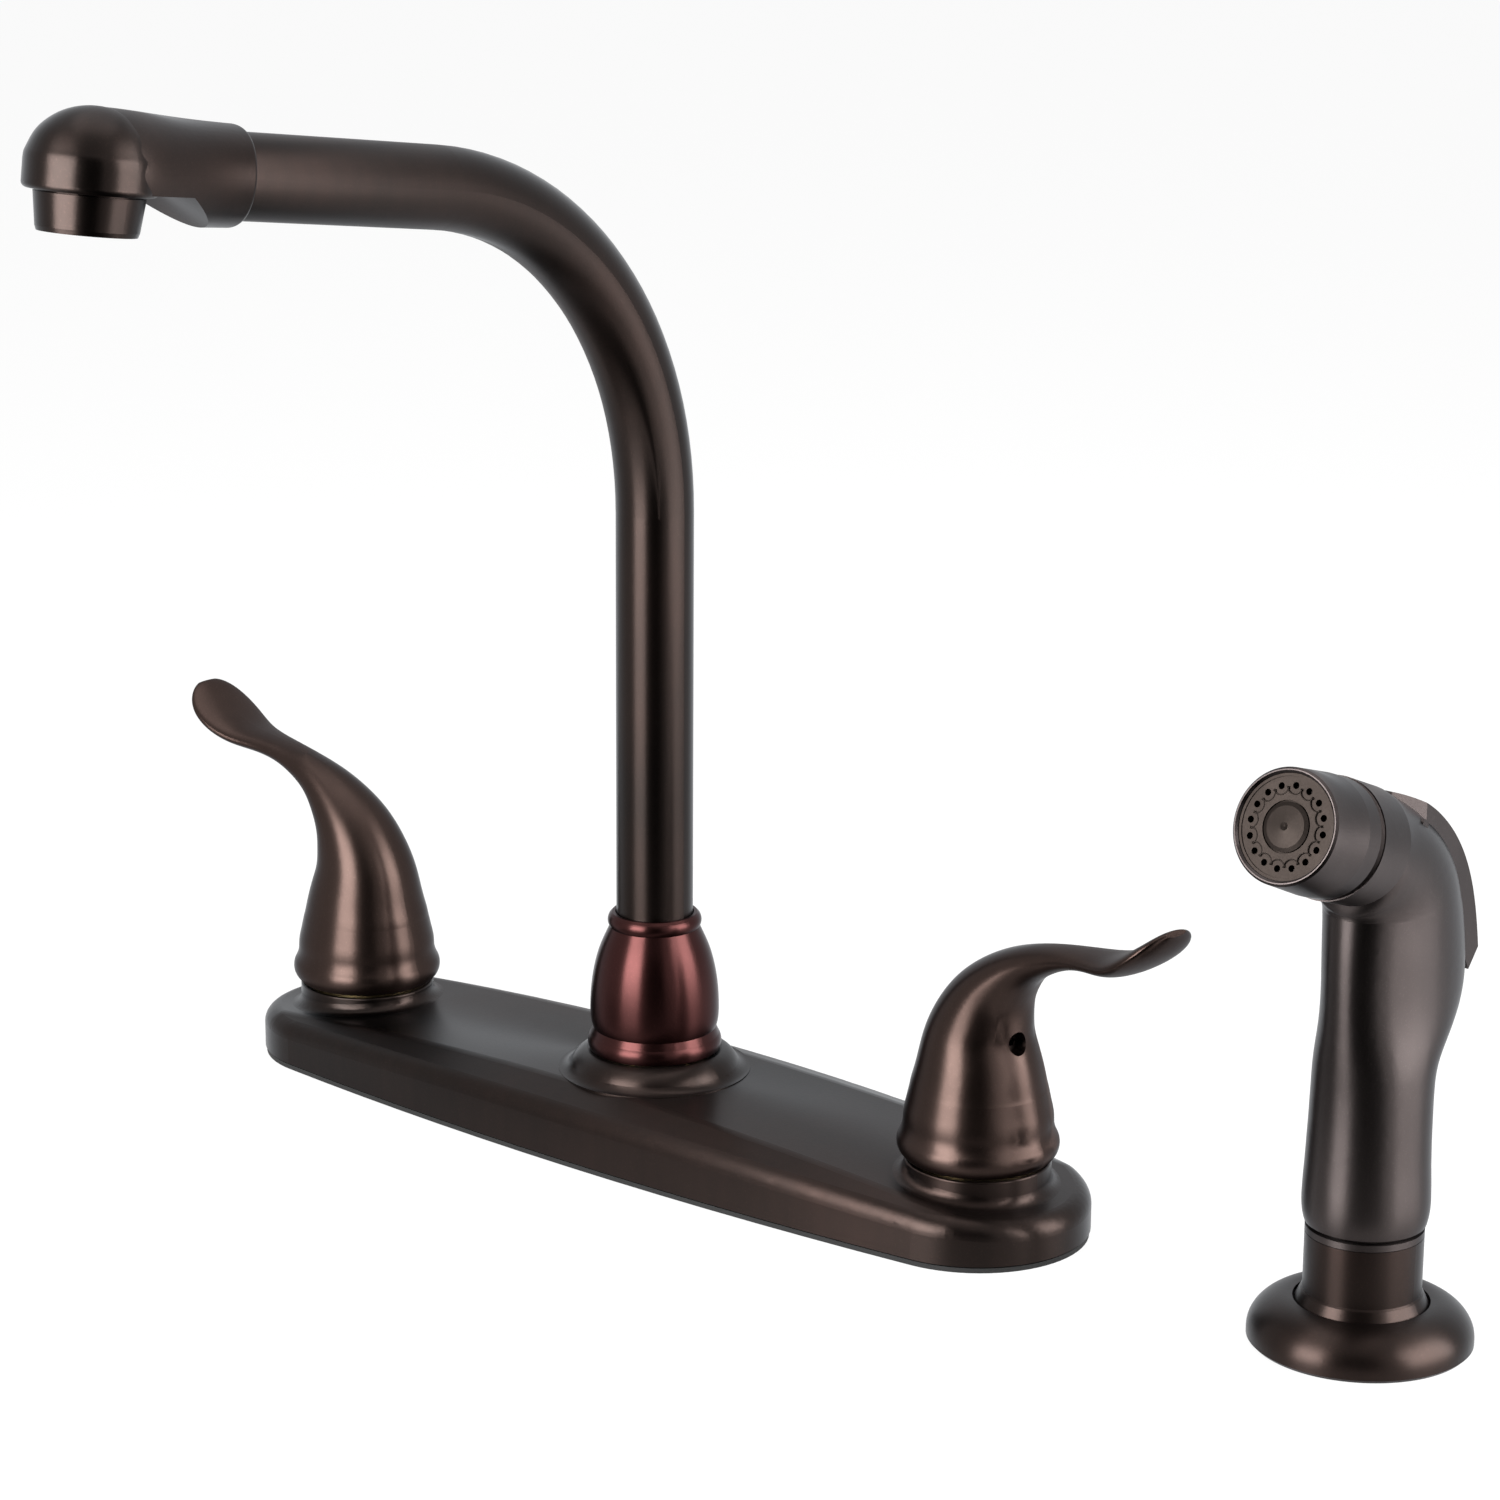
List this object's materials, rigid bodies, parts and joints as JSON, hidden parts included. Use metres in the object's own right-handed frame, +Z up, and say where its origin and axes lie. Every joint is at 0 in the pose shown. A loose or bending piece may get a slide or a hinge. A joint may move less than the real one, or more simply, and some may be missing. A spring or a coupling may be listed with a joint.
{
  "type": "two handle kitchen faucet",
  "caption": "Deck-mounted two handle kitchen faucet with a high-arc swivel spout, lever handles on a long deck plate and a pull-out side sprayer in its own holder",
  "frame": {"origin": "on the spout's swivel axis, at the top face of the sink deck", "axes": "+Z up along the swivel axis, +X towards the sprayer and the cold handle, -Y towards the user, the way the spout points"},
  "size_m": [0.3948, 0.2256, 0.3313],
  "materials": {
    "bronze_finish": "satin dark bronze plating with a warm brown sheen",
    "bronze_plastic": "satin dark bronze coating on moulded plastic",
    "spray_face_plastic": "satin brown moulded plastic",
    "brass": "machined brass",
    "copper": "drawn copper tube",
    "steel": "stainless steel",
    "rubber": "black moulded rubber",
    "nylon": "moulded nylon"
  },
  "bodies": {
    "root": {"deck_plate": "bronze_finish", "deck_gasket": "rubber", "spout_hub": "brass", "spout_nut": "bronze_finish", "hot_valve_body": "brass", "cold_valve_body": "brass", "hot_cartridge": "nylon", "cold_cartridge": "nylon", "hot_bonnet": "brass", "cold_bonnet": "brass", "hot_cross_tube": "copper", "cold_cross_tube": "copper", "mounting_washers": "nylon", "mounting_nuts": "nylon", "sprayer_base": "bronze_finish", "sprayer_holder": "bronze_finish", "holder_bushing": "bronze_plastic", "holder_washer": "nylon", "holder_nut": "nylon"},
    "spout": {"spout_tube": "bronze_finish", "spout_end_fitting": "brass", "spout_o_rings": "rubber", "swivel_bushing": "nylon", "spout_head": "bronze_finish", "aerator_shell": "bronze_finish", "aerator_insert": "nylon", "aerator_washer": "rubber"},
    "hot_handle": {"hot_lever": "bronze_finish", "hot_stem": "brass", "hot_stem_o_ring": "rubber", "hot_set_screw": "steel"},
    "cold_handle": {"cold_lever": "bronze_finish", "cold_stem": "brass", "cold_stem_o_ring": "rubber", "cold_set_screw": "steel"},
    "diverter": {"diverter_piston": "brass"},
    "hose_end": {"hose_coupling": "brass", "hose_washer": "rubber"},
    "sprayer": {"sprayer_body": "bronze_plastic", "plunger_gland": "nylon", "trigger_pin": "steel", "nozzle_cap": "bronze_plastic", "spray_face": "spray_face_plastic", "face_button": "spray_face_plastic"},
    "trigger": {"trigger": "bronze_plastic"},
    "plunger": {"valve_plunger": "nylon", "plunger_spring": "steel"}
  },
  "joints": [
    {"name": "spout_swivel", "type": "hinge", "parent": "root", "child": "spout", "pos_m": [0, 0, 0.04], "axis": [0, 0, 1], "range_deg": [-180, 180]},
    {"name": "hot_turn", "type": "hinge", "parent": "root", "child": "hot_handle", "pos_m": [-0.1016, 0, 0.02], "axis": [0, 0, 1], "range_deg": [0, 92]},
    {"name": "cold_turn", "type": "hinge", "parent": "root", "child": "cold_handle", "pos_m": [0.1016, 0, 0.02], "axis": [0, 0, 1], "range_deg": [-80.5, 11.5]},
    {"name": "diverter_lift", "type": "slide", "parent": "root", "child": "diverter", "axis": [0, 0, 1], "range_m": [0, 0.003]},
    {"name": "sprayer_lift", "type": "slide", "parent": "root", "child": "hose_end", "axis": [0, 0, 1], "range_m": [0, 0.15]},
    {"name": "sprayer_twist", "type": "hinge", "parent": "hose_end", "child": "sprayer", "pos_m": [0.2057, 0.0041, 0.02], "axis": [0, 0, 1], "range_deg": [-180, 180]},
    {"name": "trigger_press", "type": "hinge", "parent": "sprayer", "child": "trigger", "pos_m": [0.2057, 0.0056, 0.121], "axis": [-1, 0, 0], "range_deg": [0, 5], "stiffness_Nm_per_rad": 2, "springref_deg": -5.73},
    {"name": "plunger_push", "type": "slide", "parent": "sprayer", "child": "plunger", "axis": [0, -1, 0], "range_m": [0, 0.0033]}
  ],
  "couplings": [
    {"joint": "plunger_push", "follows": "trigger_press", "m_per_rad": 0.0378},
    {"joint": "diverter_lift", "follows": "trigger_press", "m_per_rad": 0.0343}
  ]
}
